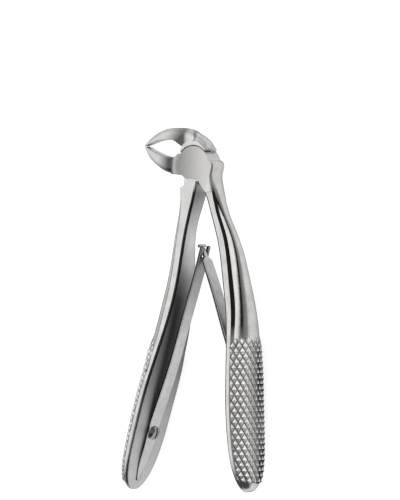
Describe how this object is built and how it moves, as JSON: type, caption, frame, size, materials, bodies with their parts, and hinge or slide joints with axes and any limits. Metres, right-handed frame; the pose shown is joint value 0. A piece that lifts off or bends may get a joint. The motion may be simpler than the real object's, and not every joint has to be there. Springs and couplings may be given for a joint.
{
  "type": "extraction forceps",
  "caption": "Lower extraction forceps with hawk's-bill beaks, lap joint, knurled grips and interlocking leaf springs.",
  "frame": {"origin": "where the jaw pivot's axis meets the joint's flat back face", "axes": "+Z along the jaw pivot, from the back plate to the front plate; +Y away from the handles; the beaks point towards -X"},
  "size_m": [0.0585, 0.1244, 0.0174],
  "materials": {
    "forged_steel": "satin",
    "spring_steel": "satin",
    "screw_steel": "polished"
  },
  "bodies": {
    "upper_jaw_body": {"upper_jaw_half": "forged_steel", "left_spring_foot": "spring_steel", "left_spring_screw": "screw_steel"},
    "lower_jaw_body": {"lower_jaw_half": "forged_steel", "pivot_screw": "screw_steel", "right_spring_foot": "spring_steel", "right_spring_screw": "screw_steel"},
    "left_leaf": {"left_spring_blade": "spring_steel"},
    "right_leaf": {"right_spring_blade": "spring_steel"}
  },
  "joints": [
    {"name": "jaw_pivot", "type": "hinge", "parent": "upper_jaw_body", "child": "lower_jaw_body", "pos_m": [0, 0, 0], "axis": [0, 0, 1], "range_deg": [0, 20], "stiffness_Nm_per_rad": 0.3, "springref_deg": 20},
    {"name": "left_leaf_flex", "type": "hinge", "parent": "upper_jaw_body", "child": "left_leaf", "pos_m": [-0.0193, -0.0862, 0.0035], "axis": [0, 0, 1], "range_deg": [-5.4, 0]},
    {"name": "right_leaf_flex", "type": "hinge", "parent": "lower_jaw_body", "child": "right_leaf", "pos_m": [0.0174, -0.0705, 0.0035], "axis": [0, 0, 1], "range_deg": [0, 9]}
  ],
  "couplings": [
    {"joint": "left_leaf_flex", "follows": "jaw_pivot", "ratio": -0.25},
    {"joint": "right_leaf_flex", "follows": "jaw_pivot", "ratio": 0.428}
  ]
}
